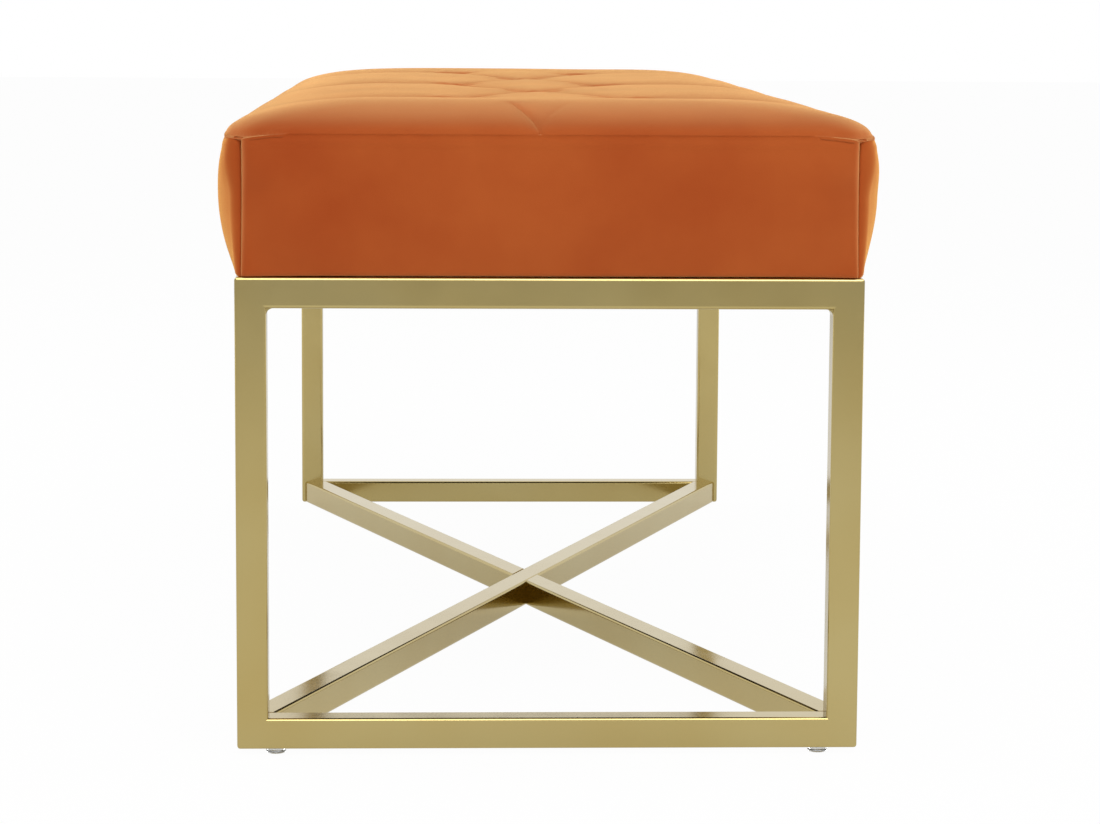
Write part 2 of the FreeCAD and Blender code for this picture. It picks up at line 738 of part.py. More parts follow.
def tuft_cut(x, y):
    """Funnel with rounded-over walls."""
    across = Vector(1, 0, 0)
    reach, depth, floor = value("tuft_reach"), value("tuft_depth"), value("tuft_floor")
    wall, bottom, top = cusp_outline(reach, depth, floor, across)
    axis_bottom = Vector(0, 0, -depth)
    axis_top = Vector(0, 0, room)
    rim_top = Vector(top.x, 0, room)
    outline = [Part.LineSegment(axis_bottom, bottom).toShape(), wall,
               Part.LineSegment(top, rim_top).toShape(), Part.LineSegment(rim_top, axis_top).toShape(),
               Part.LineSegment(axis_top, axis_bottom).toShape()]
    funnel = Part.Face(Part.Wire(outline)).revolve(Vector(), Vector(0, 0, 1), 360)
    funnel.translate(Vector(x, y, crest))
    return funnel


def pleat_cut(start, finish):
    """Crease with rounded-over walls, from one place in the plan to another."""
    along = finish - start
    across = Vector(-along.y, along.x, 0).normalize()
    reach, depth = value("pleat_reach"), value("pleat_depth")
    right_wall, bottom, right_top = cusp_outline(reach, depth, 0.0, across)
    left_wall, _, left_top = cusp_outline(reach, depth, 0.0, across * -1)
    up = Vector(0, 0, room)
    outline = [left_wall, right_wall,
               Part.LineSegment(right_top, right_top + up).toShape(),
               Part.LineSegment(right_top + up, left_top + up).toShape(),
               Part.LineSegment(left_top + up, left_top).toShape()]
    crease = Part.Face(Part.Wire(Part.__sortEdges__(outline))).extrude(along)
    crease.translate(start + Vector(0, 0, crest))
    return crease


tufts = [Vector(value(x), value(y), 0) for x, y in tuft_places]
last_row_y = max(tuft.y for tuft in tufts)
pleats = []
for tuft in tufts:
    for other in tufts:
        rows_apart = round((other.y - tuft.y) / value("tuft_pitch"))
        if rows_apart == 1:
            pleats.append((tuft, other))
    if tuft.x:
        edge = math.copysign(value(f"{CORE_X} + boxing_seam_side"), tuft.x)
        pleats.append((tuft, Vector(edge, tuft.y, 0)))
    if abs(tuft.y) == last_row_y:
        end_y = math.copysign(value(f"{CORE_Y} + boxing_seam_end"), tuft.y)
        pleats.append((tuft, Vector(0, end_y, 0)))

cuts = [tuft_cut(tuft.x, tuft.y) for tuft in tufts]
cuts += [pleat_cut(start, finish) for start, finish in pleats]
keep_shape("tufted_top_panel", crown.cut(cuts))


# Check every object, then write each sub-part to its own file

doc.recompute()
for thing in doc.Objects:
    if "Invalid" in thing.State or "Error" in thing.State:
        raise ValueError(f"{thing.Label} failed: {thing.State}")
for thing in subparts:
    if thing.Shape.isNull() or not thing.Shape.isValid() or thing.Shape.Volume <= 0:
        raise ValueError(f"{thing.Label} has no valid solid")

os.makedirs("parts", exist_ok=True)
for thing in subparts:
    thing.Shape.exportStep(f"parts/{thing.Label}.step")
print(f"{len(subparts)} sub-parts written")
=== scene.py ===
import math

import bmesh
import bpy
from mathutils import Matrix, Vector, noise


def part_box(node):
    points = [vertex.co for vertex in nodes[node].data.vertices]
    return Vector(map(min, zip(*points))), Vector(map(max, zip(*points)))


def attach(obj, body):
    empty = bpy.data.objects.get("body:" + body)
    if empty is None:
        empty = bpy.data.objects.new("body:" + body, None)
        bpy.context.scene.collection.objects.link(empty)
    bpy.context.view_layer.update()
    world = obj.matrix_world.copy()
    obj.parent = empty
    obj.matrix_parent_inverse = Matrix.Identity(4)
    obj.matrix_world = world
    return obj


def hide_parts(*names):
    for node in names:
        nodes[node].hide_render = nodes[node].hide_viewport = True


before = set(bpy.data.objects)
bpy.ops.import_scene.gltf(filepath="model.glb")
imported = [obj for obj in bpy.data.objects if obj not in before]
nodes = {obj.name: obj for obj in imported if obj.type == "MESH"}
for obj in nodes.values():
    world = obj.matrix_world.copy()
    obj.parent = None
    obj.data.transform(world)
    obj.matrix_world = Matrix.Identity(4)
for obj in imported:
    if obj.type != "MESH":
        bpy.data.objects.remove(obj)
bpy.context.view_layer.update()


# Welded frame
# Square steel tube, mitred and welded into two end frames, with two rails under the seat and an X of
# floor bars between them. The welds are ground flush, and the whole is plated a satin champagne gold.

def new_group(name, inputs, output, kind):
    """An empty shader node group with named sockets, and its input and output nodes."""
    group = bpy.data.node_groups.new(name, "ShaderNodeTree")
    for label, socket in inputs.items():
        group.interface.new_socket(label, in_out="INPUT", socket_type=socket)
    group.interface.new_socket(output, in_out="OUTPUT", socket_type=kind)
    return group, group.nodes.new("NodeGroupInput"), group.nodes.new("NodeGroupOutput")


VECTOR, NUMBER = "NodeSocketVector", "NodeSocketFloat"

# Noise keeps near the middle of its range, so that part is spread out
NOISE_LOW, NOISE_HIGH = 0.3, 0.7

# Soft clouds over a surface, in cells per metre, spread from a low to a high value
clouding, given, result = new_group(
    "clouding",
    {"Place": VECTOR, "Stretch": VECTOR, "Scale": NUMBER, "Detail": NUMBER, "Low": NUMBER, "High": NUMBER},
    "Value", NUMBER)
stretched = clouding.nodes.new("ShaderNodeVectorMath")
stretched.operation = "MULTIPLY"
clouds = clouding.nodes.new("ShaderNodeTexNoise")
spread = clouding.nodes.new("ShaderNodeMapRange")
spread.inputs["From Min"].default_value = NOISE_LOW
spread.inputs["From Max"].default_value = NOISE_HIGH
clouding.links.new(given.outputs["Place"], stretched.inputs[0])
clouding.links.new(given.outputs["Stretch"], stretched.inputs[1])
clouding.links.new(stretched.outputs["Vector"], clouds.inputs["Vector"])
clouding.links.new(given.outputs["Scale"], clouds.inputs["Scale"])
clouding.links.new(given.outputs["Detail"], clouds.inputs["Detail"])
clouding.links.new(clouds.outputs["Fac"], spread.inputs["Value"])
clouding.links.new(given.outputs["Low"], spread.inputs["To Min"])
clouding.links.new(given.outputs["High"], spread.inputs["To Max"])
clouding.links.new(spread.outputs["Result"], result.inputs["Value"])

# Fine roughness of a surface, as a normal: grains per metre and their height
fine_grain, given, result = new_group(
    "fine_grain",
    {"Place": VECTOR, "Stretch": VECTOR, "Scale": NUMBER, "Strength": NUMBER, "Height": NUMBER},
    "Normal", VECTOR)
stretched = fine_grain.nodes.new("ShaderNodeVectorMath")
stretched.operation = "MULTIPLY"
grains = fine_grain.nodes.new("ShaderNodeTexNoise")
grains.inputs["Detail"].default_value = 1.0
bump = fine_grain.nodes.new("ShaderNodeBump")
fine_grain.links.new(given.outputs["Place"], stretched.inputs[0])
fine_grain.links.new(given.outputs["Stretch"], stretched.inputs[1])
fine_grain.links.new(stretched.outputs["Vector"], grains.inputs["Vector"])
fine_grain.links.new(given.outputs["Scale"], grains.inputs["Scale"])
fine_grain.links.new(grains.outputs["Fac"], bump.inputs["Height"])
fine_grain.links.new(given.outputs["Strength"], bump.inputs["Strength"])
fine_grain.links.new(given.outputs["Height"], bump.inputs["Distance"])
fine_grain.links.new(bump.outputs["Normal"], result.inputs["Normal"])


def new_material(name, **values):
    """A material and its shader, with plain values on the shader's own sockets."""
    material = bpy.data.materials.new(name)
    material.use_nodes = True
    shader = material.node_tree.nodes["Principled BSDF"]
    for label, value in values.items():
        shader.inputs[label.replace("_", " ")].default_value = value
    return material, material.node_tree, shader


def place_group(tree, group, Stretch=(1, 1, 1), **values):
    """Put a node group in a material on Object coordinates, and return its output."""
    node = tree.nodes.new("ShaderNodeGroup")
    node.node_tree = group
    coordinates = tree.nodes.new("ShaderNodeTexCoord")
    tree.links.new(coordinates.outputs["Object"], node.inputs["Place"])
    node.inputs["Stretch"].default_value = Stretch
    for label, value in values.items():
        node.inputs[label].default_value = value
    return node.outputs[0]


def blend_colours(tree, factor, first, second):
    """Colour from first to second as factor goes from 0 to 1."""
    mix = tree.nodes.new("ShaderNodeMix")
    mix.data_type = "RGBA"
    mix.inputs["A"].default_value = (*first, 1)
    mix.inputs["B"].default_value = (*second, 1)
    tree.links.new(factor, mix.inputs["Factor"])
    return mix.outputs["Result"]


def finish_nodes(material, *endings):
    """Give a material to the frame's nodes whose names have one of these endings."""
    for name, node in nodes.items():
        if name.endswith(endings):
            node.data.materials.clear()
            node.data.materials.append(material)


GOLD = (0.475, 0.368, 0.142)
GOLD_PALE = (0.500, 0.404, 0.175)

gold, tree, shader = new_material("champagne_gold", Metallic=1.0)
clouds = place_group(tree, clouding, Scale=9.0, Detail=2.0, Low=0.0, High=1.0)
tree.links.new(blend_colours(tree, clouds, GOLD, GOLD_PALE), shader.inputs["Base Color"])
polish = place_group(tree, clouding, Scale=30.0, Detail=2.0, Low=0.11, High=0.16)
tree.links.new(polish, shader.inputs["Roughness"])
satin = place_group(tree, fine_grain, Scale=1400.0, Strength=0.04, Height=0.0002)
tree.links.new(satin, shader.inputs["Normal"])
finish_nodes(gold, "_post", "_rail", "_brace", "_gusset", "_strap")


# Feet
# Four clear moulded plastic buttons, pushed into holes in the floor rails by their barbed stems.

CLEAR = (0.86, 0.88, 0.89, 1)
clear, tree, shader = new_material("clear_plastic", Base_Color=CLEAR, Transmission_Weight=0.85, IOR=1.49)
haze = place_group(tree, clouding, Scale=700.0, Detail=2.0, Low=0.06, High=0.16)
tree.links.new(haze, shader.inputs["Roughness"])
finish_nodes(clear, "_foot")


# Seat board
# Birch plywood, bored for the tee nuts and the twines. Its veneers show as bands round the edge.

PLY_FACE = (0.58, 0.42, 0.26)
PLY_FACE_DARK = (0.50, 0.34, 0.19)
PLY_END_GRAIN = (0.27, 0.16, 0.08)
VENEER = 0.0015
# Radians that a wave texture of scale 1 turns through in a metre
WAVE_TURN = 20
# A face whose normal rises less than this belongs to the edge of the board
EDGE_RISE = 0.5

plywood, tree, shader = new_material("birch_plywood", Roughness=0.62)
figure = place_group(tree, clouding, Stretch=(1, 0.06, 1), Scale=90.0, Detail=4.0, Low=0.0, High=1.0)
face = blend_colours(tree, figure, PLY_FACE, PLY_FACE_DARK)
bands = tree.nodes.new("ShaderNodeTexWave")
bands.bands_direction = "Z"
bands.inputs["Scale"].default_value = 2 * math.pi / (WAVE_TURN * 2 * VENEER)
coordinates = tree.nodes.new("ShaderNodeTexCoord")
tree.links.new(coordinates.outputs["Object"], bands.inputs["Vector"])
edge = tree.nodes.new("ShaderNodeSeparateXYZ")
geometry = tree.nodes.new("ShaderNodeNewGeometry")
tree.links.new(geometry.outputs["Normal"], edge.inputs["Vector"])
upright = tree.nodes.new("ShaderNodeMath")
upright.operation = "ABSOLUTE"
tree.links.new(edge.outputs["Z"], upright.inputs[0])
on_edge = tree.nodes.new("ShaderNodeMath")
on_edge.operation = "LESS_THAN"
on_edge.inputs[1].default_value = EDGE_RISE
tree.links.new(upright.outputs["Value"], on_edge.inputs[0])
dark_veneer = tree.nodes.new("ShaderNodeMath")
dark_veneer.operation = "MULTIPLY"
tree.links.new(on_edge.outputs["Value"], dark_veneer.inputs[0])
tree.links.new(bands.outputs["Fac"], dark_veneer.inputs[1])
banded = blend_colours(tree, dark_veneer.outputs["Value"], PLY_FACE, PLY_END_GRAIN)
tree.links.new(face, banded.node.inputs["A"])
tree.links.new(banded, shader.inputs["Base Color"])
pores = place_group(tree, fine_grain, Stretch=(1, 0.08, 1), Scale=900.0, Strength=0.3, Height=0.0003)
tree.links.new(pores, shader.inputs["Normal"])
finish_nodes(plywood, "seat_board")


# Foam block
# Cut upholstery foam, glued to the seat board, with softly rounded edges under the cover.

FOAM = (0.80, 0.74, 0.55)
FOAM_AGED = (0.74, 0.65, 0.42)
FOAM_ROUNDING = 0.004

foam, tree, shader = new_material("cut_foam", Roughness=0.95, Specular_IOR_Level=0.1)
aged = place_group(tree, clouding, Scale=14.0, Detail=3.0, Low=0.0, High=1.0)
tree.links.new(blend_colours(tree, aged, FOAM, FOAM_AGED), shader.inputs["Base Color"])
cells = place_group(tree, fine_grain, Scale=1100.0, Strength=0.7, Height=0.0008)
tree.links.new(cells, shader.inputs["Normal"])


def link_piece(name, work, material):
    """A finished bmesh becomes an object with smooth faces and one material."""
    mesh = bpy.data.meshes.new(name)
    work.to_mesh(mesh)
    work.free()
    for polygon in mesh.polygons:
        polygon.use_smooth = True
    mesh.materials.append(material)
    piece = bpy.data.objects.new(name, mesh)
    bpy.context.scene.collection.objects.link(piece)
    return piece


def stand_for(piece, node):
    """The piece rides the bench, takes the place of a node and keeps its finish."""
    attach(piece, "root")
    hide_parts(node)


foam_low, foam_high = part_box("foam_block")
work = bmesh.new()
bmesh.ops.create_cube(work, size=1)
bmesh.ops.scale(work, vec=foam_high - foam_low, verts=work.verts)
bmesh.ops.translate(work, vec=(foam_low + foam_high) / 2, verts=work.verts)
bmesh.ops.bevel(work, geom=work.edges[:], offset=FOAM_ROUNDING, segments=3, profile=0.5,
                affect="EDGES", material=-1)
block = link_piece("cut_foam_block", work, foam)
stand_for(block, "foam_block")


# Tufting twines and the small fasteners
# Waxed twines run from the tufts through foam and board to washers below. Zinc-plated screws, washers
# and tee nuts hold the board to the gussets and to the strap.

TWINE = (0.62, 0.50, 0.33)
TWINE_DARK = (0.47, 0.36, 0.22)
ZINC = (0.58, 0.60, 0.62)
ZINC_WARM = (0.64, 0.62, 0.55)

twine, tree, shader = new_material("waxed_twine", Roughness=0.7)
strands = place_group(tree, clouding, Stretch=(1, 1, 0.35), Scale=900.0, Detail=2.0, Low=0.0, High=1.0)
tree.links.new(blend_colours(tree, strands, TWINE, TWINE_DARK), shader.inputs["Base Color"])
lay = place_group(tree, fine_grain, Stretch=(1, 1, 0.4), Scale=1500.0, Strength=0.6, Height=0.0004)
tree.links.new(lay, shader.inputs["Normal"])
finish_nodes(twine, "tuft_twines")

zinc, tree, shader = new_material("zinc_plate", Metallic=1.0)
passivated = place_group(tree, clouding, Scale=160.0, Detail=2.0, Low=0.0, High=1.0)
tree.links.new(blend_colours(tree, passivated, ZINC, ZINC_WARM), shader.inputs["Base Color"])
dulled = place_group(tree, clouding, Scale=420.0, Detail=2.0, Low=0.28, High=0.42)
tree.links.new(dulled, shader.inputs["Roughness"])
finish_nodes(zinc, "seat_screws", "seat_washers", "seat_tee_nuts", "tuft_washers")


# Dust cover
# Black spun-bonded cloth, stretched flat over the underside of the board and stapled round its edge.

CLOTH_BLACK = (0.016, 0.016, 0.017)
CLOTH_WORN = (0.030, 0.030, 0.031)
CLOTH_SAG = 0.0003
CLOTH_COLUMNS, CLOTH_ROWS = 40, 110

dust_cloth, tree, shader = new_material("black_dust_cloth", Roughness=0.9, Specular_IOR_Level=0.2)
fibres = place_group(tree, clouding, Scale=260.0, Detail=4.0, Low=0.0, High=1.0)
tree.links.new(blend_colours(tree, fibres, CLOTH_BLACK, CLOTH_WORN), shader.inputs["Base Color"])
bonded = place_group(tree, fine_grain, Scale=1300.0, Strength=0.5, Height=0.0003)
tree.links.new(bonded, shader.inputs["Normal"])

cloth_low, cloth_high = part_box("dust_cover")
cloth_size = cloth_high - cloth_low
work = bmesh.new()
bmesh.ops.create_grid(work, x_segments=CLOTH_COLUMNS, y_segments=CLOTH_ROWS, size=0.5)
for vertex in work.verts:
    slack = math.cos(math.pi * vertex.co.x) * math.sin(2 * math.pi * vertex.co.y) ** 2
    vertex.co.x *= cloth_size.x
    vertex.co.y *= cloth_size.y
    vertex.co.z = cloth_low.z + cloth_size.z / 2 - CLOTH_SAG * slack
bmesh.ops.reverse_faces(work, faces=work.faces)
dust_cover = link_piece("stretched_dust_cover", work, dust_cloth)
weave = dust_cover.modifiers.new("cloth", "SOLIDIFY")
weave.thickness = cloth_size.z / 2
weave.offset = 0
stand_for(dust_cover, "dust_cover")


# Velvet boxing
# Short-pile orange velvet in four panels, sewn to each other at the corners and to the top panel, over
# wadding and foam. The panels swell between the seams, and their foot is turned in under the board.

VELVET_DEEP = (0.375, 0.056, 0.008)
VELVET_LIGHT = (0.450, 0.086, 0.015)
VELVET_NAP = (0.93, 0.62, 0.25)
# The long sides are cut with the pile lying another way, so their nap looks more golden
SIDE_NAP = (0.98, 0.59, 0.17)
# Painted light and shade on the top panel: its base colour is painted lighter up on the crown, where the
# light from above falls, and darker low on the roll and down in the tufts
PAINTED_LIT_CROWN_DEEP = (0.550, 0.104, 0.022)
PAINTED_LIT_CROWN_LIGHT = (0.645, 0.146, 0.034)
PAINTED_LIGHT_STARTS, PAINTED_LIGHT_FULL = 0.006, 0.020

core_x, core_y = foam_high.x, foam_high.y
foot_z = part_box("near_end_panel")[0].z
seam_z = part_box("near_end_panel")[1].z
box_height = seam_z - foot_z


def velvet_finish(name, sheen, nap):
    """Velvet whose pile catches light at a flat angle, as the cut of the panel lays it."""
    material, tree, shader = new_material(name, Roughness=0.8, Specular_IOR_Level=0.1, Sheen_Weight=sheen,
                                          Sheen_Roughness=0.5, Sheen_Tint=(*nap, 1))
    brushed = place_group(tree, clouding, Scale=11.0, Detail=3.0, Low=0.0, High=1.0)
    coordinates = tree.nodes.new("ShaderNodeTexCoord")
    height = tree.nodes.new("ShaderNodeSeparateXYZ")
    tree.links.new(coordinates.outputs["Object"], height.inputs["Vector"])
    # Painted light: the base colour turns to the lighter crown tones with height above the top seam, so the
    # tuft hollows and the foot of the roll keep a painted shade
    painted_light_share = tree.nodes.new("ShaderNodeMapRange")
    painted_light_share.interpolation_type = "SMOOTHSTEP"
    painted_light_share.inputs["From Min"].default_value = seam_z + PAINTED_LIGHT_STARTS
    painted_light_share.inputs["From Max"].default_value = seam_z + PAINTED_LIGHT_FULL
    tree.links.new(height.outputs["Z"], painted_light_share.inputs["Value"])
    pile_tone_and_painted_light = tree.nodes.new("ShaderNodeMix")
    pile_tone_and_painted_light.data_type = "RGBA"
    tree.links.new(painted_light_share.outputs["Result"], pile_tone_and_painted_light.inputs["Factor"])
    tree.links.new(blend_colours(tree, brushed, VELVET_DEEP, VELVET_LIGHT), pile_tone_and_painted_light.inputs["A"])
    tree.links.new(blend_colours(tree, brushed, PAINTED_LIT_CROWN_DEEP, PAINTED_LIT_CROWN_LIGHT), pile_tone_and_painted_light.inputs["B"])
    tree.links.new(pile_tone_and_painted_light.outputs["Result"], shader.inputs["Base Color"])
    pile = place_group(tree, fine_grain, Scale=2200.0, Strength=0.25, Height=0.0004)
    tree.links.new(pile, shader.inputs["Normal"])
    return material


velvet = velvet_finish("orange_velvet", sheen=0.85, nap=VELVET_NAP)
side_velvet = velvet_finish("orange_velvet_cut_lengthwise", sheen=1.0, nap=SIDE_NAP)

CORNER_RUN = 0.045
# How far the cover stands out from the foam at the foot, half-way up and at the top seam
SIDE_STAND = (0.0083, 0.021, 0.0145)
END_STAND = (0.0055, 0.013, 0.0095)
CORNER_STAND = (0.0068, 0.006, 0.006)
# Towards the top seam the walls turn in to the corners more sharply
ROUND_POWER, SHARPER_BY, SHARPENS_FROM = 2, 5, 0.55
CORNER_SEAM_SINK, CORNER_SEAM_REACH = 0.0036, 0.0028
SEAM_BEAD, SEAM_BEAD_REACH, BEAD_BELOW = 0.0009, 0.0012, 0.6
CORNER_DROOP, CORNER_DROOP_RUN = 0.0042, 0.040
ALLOWANCE_RIDGE, ALLOWANCE_WIDTH, RIDGE_SHARPNESS = 0.0005, 0.006, 2.2
FOOT_ROLL, FOOT_ROLL_REACH = 0.0012, 0.003
FOOT_GAP, FOOT_LIFT = 0.0002, 0.0006
LIFT_POWER, LIFT_FADE, DROOP_FADE = 6, 8, 6
# Soft waves all over a wall and finer puckers along its top seam, per metre and per height of the wall
SOFT_WAVE, WAVES_ALONG, WAVES_UP = 0.0011, 9, 1.6
WAVE_TO_CORNER, WAVE_TO_EDGE = 0.03, 0.02
PUCKER, PUCKER_HEIGHT, PUCKERS_ALONG, PUCKERS_UP = 0.0006, 0.010, 75, 3
CORNER_PUCKER, CORNER_PUCKER_RUN = 0.0014, 0.050
PUCKER_TO_CORNER, PUCKER_TO_SEAM, PUCKER_SEED = 0.01, 0.002, 7
HEM, HEM_ROW = 0.022, -0.5
COVER_THICKNESS = 0.002
BOXING_ROWS, END_COLUMNS, SIDE_COLUMNS = 60, 150, 300
BOXING_CROWDING = 1.3


def at_height(stand, up):
    """Quadratic through the three heights of a boxing panel, with up from 0 to 1."""
    foot, middle, seam = stand
    return foot * (1 - up) * (1 - 2 * up) + middle * 4 * up * (1 - up) + seam * up * (2 * up - 1)


def smooth_step(low, high, value):
    """From 0 at low to 1 at high, eased at both ends."""
    share = min(1.0, max(0.0, (value - low) / (high - low)))
    return share * share * (3 - 2 * share)


def fading(distance, run):
    """From 0 at an edge to 1 at the end of the run."""
    return min(1.0, distance / run)


def eased(share, crowding):
    """Crowd grid lines towards the seams, where a panel curves most."""
    return math.copysign(1 - (1 - abs(share)) ** crowding, share)


def outline(along, up, half_length, stand, half_width):
    """Distance of the cover from the middle line, at a place along one wall, drawn in at the corners."""
    corner = at_height(CORNER_STAND, up)
    out = at_height(stand, up)
    limit = half_length + corner
    past = min(1.0, max(0.0, abs(along) - (limit - CORNER_RUN)) / CORNER_RUN)
    power = ROUND_POWER + SHARPER_BY * smooth_step(SHARPENS_FROM, 1.0, up)
    return half_width + out - (out - corner) * past ** power


def droop(to_corner):
    """The top seam is pulled down a little at the corners."""
    return CORNER_DROOP * max(0.0, 1 - to_corner / CORNER_DROOP_RUN) ** 2


def ridge(distance):
    """The seam allowance under the cover lifts it a little beside a seam."""
    return ALLOWANCE_RIDGE * math.exp(-((distance / ALLOWANCE_WIDTH - 1) * RIDGE_SHARPNESS) ** 2)


def add_wall(piece):
    """Give the cover the thickness of velvet and backing, inwards."""
    wall = piece.modifiers.new("cover", "SOLIDIFY")
    wall.thickness = COVER_THICKNESS
    wall.offset = -1


def boxing_panel(name, cloth, turn, half_length, stand, half_width, columns, seed):
    """One wall of the cover, set upright, swelled and drawn in at its seams, its foot hemmed under."""
    work = bmesh.new()
    bmesh.ops.create_grid(work, x_segments=columns, y_segments=BOXING_ROWS + 1, size=1)
    for vertex in work.verts:
        row = (vertex.co.y + 1) / 2 * (BOXING_ROWS + 1) - 1
        up = (eased(2 * max(0.0, row) / BOXING_ROWS - 1, BOXING_CROWDING) + 1) / 2
        limit = half_length + at_height(CORNER_STAND, up)
        along = eased(vertex.co.x, BOXING_CROWDING) * limit
        to_corner = limit - abs(along)
        to_seam = (1 - up) * box_height
        to_foot = up * box_height
        sink = CORNER_SEAM_SINK * math.exp(-to_corner / CORNER_SEAM_REACH)
        out = outline(along, up, half_length, stand, half_width) - sink
        out += max(ridge(to_corner), ridge(to_seam))
        out += BEAD_BELOW * SEAM_BEAD * math.exp(-to_seam / SEAM_BEAD_REACH)
        out -= FOOT_ROLL * max(0.0, 1 - to_foot / FOOT_ROLL_REACH) ** 2
        wave = SOFT_WAVE * noise.noise(Vector((along * WAVES_ALONG, up * WAVES_UP, seed)))
        wave *= fading(to_corner, WAVE_TO_CORNER)
        out += wave * fading(to_seam, WAVE_TO_EDGE) * fading(to_foot, WAVE_TO_EDGE)
        pucker = PUCKER + CORNER_PUCKER * math.exp(-to_corner / CORNER_PUCKER_RUN)
        pucker *= math.exp(-to_seam / PUCKER_HEIGHT)
        pucker *= fading(to_corner, PUCKER_TO_CORNER) * fading(to_seam, PUCKER_TO_SEAM)
        folds = Vector((along * PUCKERS_ALONG, up * PUCKERS_UP, seed + PUCKER_SEED))
        out += pucker * noise.noise(folds)
        lift = FOOT_GAP + FOOT_LIFT * max(0.0, 1 - (along / limit) ** LIFT_POWER)
        lift *= (1 - up) ** LIFT_FADE
        lift -= droop(to_corner) * up ** DROOP_FADE
        along -= math.copysign(sink, along)
        if row < HEM_ROW:
            out -= HEM
            along *= 1 - HEM / half_length
        vertex.co = Vector((along, -out, foot_z + to_foot + lift))
    bmesh.ops.transform(work, matrix=Matrix.Rotation(turn, 4, "Z"), verts=work.verts)
    panel = link_piece("velvet_" + name, work, cloth)
    add_wall(panel)
    stand_for(panel, name)


boxing_panel("near_end_panel", velvet, 0, core_x, END_STAND, core_y, END_COLUMNS, seed=1)
boxing_panel("far_end_panel", velvet, math.pi, core_x, END_STAND, core_y, END_COLUMNS, seed=2)
boxing_panel("right_side_panel", side_velvet, math.pi / 2, core_y, SIDE_STAND, core_x, SIDE_COLUMNS, seed=3)
boxing_panel("left_side_panel", side_velvet, -math.pi / 2, core_y, SIDE_STAND, core_x, SIDE_COLUMNS, seed=4)


# Tufted top panel
# The top of the cover curves over from the seam to a low crown. Tufts without buttons draw it down in
# pairs and singles, with pleats from tuft to tuft and from the outer tufts to the seams.

CROWN_HEIGHT = 0.0236
# Height per metre that the crown gains towards the far end
CROWN_TILT = 0.0026
CORNER_EASE = 0.35
SIDE_CROWN_REACH, END_CROWN_REACH = 0.110, 0.100
TUFT_PITCH = 0.191
TUFT_SPREAD = 0.126
ROWS_FROM_MIDDLE = 2
TUFT_DEPTH = 0.018
TUFT_REACH = 0.036
TUFT_PUCKER, TUFT_PUCKER_REACH = 0.0007, 0.012
# Folds gathered round each tuft, turned a little further from one tuft to the next
TUFT_FOLDS, TUFT_TURN = 7, 2.4
SIDE_PLEAT_DEPTH, INNER_PLEAT_DEPTH = 0.0070, 0.0054
PLEAT_REACH = 0.030
END_PLEAT_DEPTH, END_PLEAT_REACH = 0.0085, 0.007
END_PLEAT_PLACE, END_PLEAT_RUN = 0.008, 0.38
SLACK_PLEAT = 0.2
INNER_TAPER, SIDE_TAPER, END_TAPER = 0.0, 0.55, 1.0
CREASE_WIDTH = 0.0025
CREASE_SHARE = 0.35
CREASE_AT_SEAM = 0.6
CREASE_CUTS = (0.0, -0.0015, 0.0015, -0.004, 0.004)
CREASE_BAND = 0.009
CUT_TOLERANCE = 1e-6
TOP_COLUMNS, TOP_ROWS = 120, 300
TOP_CROWDING = 1.7
TOP_WAVES, TOP_SEED = 8, 11

tufts = []
for row in range(-ROWS_FROM_MIDDLE, ROWS_FROM_MIDDLE + 1):
    for x in ((0.0,) if row % 2 else (-TUFT_SPREAD / 2, TUFT_SPREAD / 2)):
        tufts.append(Vector((x, row * TUFT_PITCH)))

half_top_x = core_x + SIDE_STAND[2]
half_top_y = core_y + END_STAND[2]
corner_x = core_x + CORNER_STAND[2]
corner_y = core_y + CORNER_STAND[2]
pleats = []
for tuft in tufts:
    for other in tufts:
        if round((other.y - tuft.y) / TUFT_PITCH) == 1:
            pleats.append((tuft, other, INNER_PLEAT_DEPTH, PLEAT_REACH, INNER_TAPER))
    if tuft.x:
        edge_end = Vector((math.copysign(half_top_x, tuft.x), tuft.y))
        pleats.append((edge_end, tuft, SIDE_PLEAT_DEPTH, PLEAT_REACH, SIDE_TAPER))
    if round(abs(tuft.y) / TUFT_PITCH) == ROWS_FROM_MIDDLE:
        seam_end = Vector((math.copysign(END_PLEAT_PLACE, tuft.y), math.copysign(half_top_y, tuft.y)))
        tightness = 1.0 if tuft.x * tuft.y > 0 else SLACK_PLEAT
        fold_end = seam_end.lerp(tuft, END_PLEAT_RUN)
        pleats.append((fold_end, seam_end, END_PLEAT_DEPTH * tightness, END_PLEAT_REACH, END_TAPER))


def side_line(y):
    """Half width of the top panel at a place along the bench."""
    return outline(y, 1.0, core_y, SIDE_STAND, core_x)


def end_line(x):
    """Half length of the top panel at a place across the bench."""
    return outline(x, 1.0, core_x, END_STAND, core_y)


def rise(share):
    """Quarter ellipse from the seam to the crown, from 0 to 1."""
    short = max(0.0, 1 - share)
    return math.sqrt(max(0.0, 1 - short * short))


def soft_least(first, second):
    """The smaller of two values, eased where they come near each other."""
    near = max(0.0, 1 - abs(first - second) / CORNER_EASE)
    return min(first, second) - near * near * CORNER_EASE / 4


def distance_to_line(point, start, finish):
    """Distance from a line in the plan, and how far along it the nearest place lies, from 0 to 1."""
    along = finish - start
    share = min(1.0, max(0.0, (point - start).dot(along) / along.length_squared))
    return (point - start - along * share).length, share


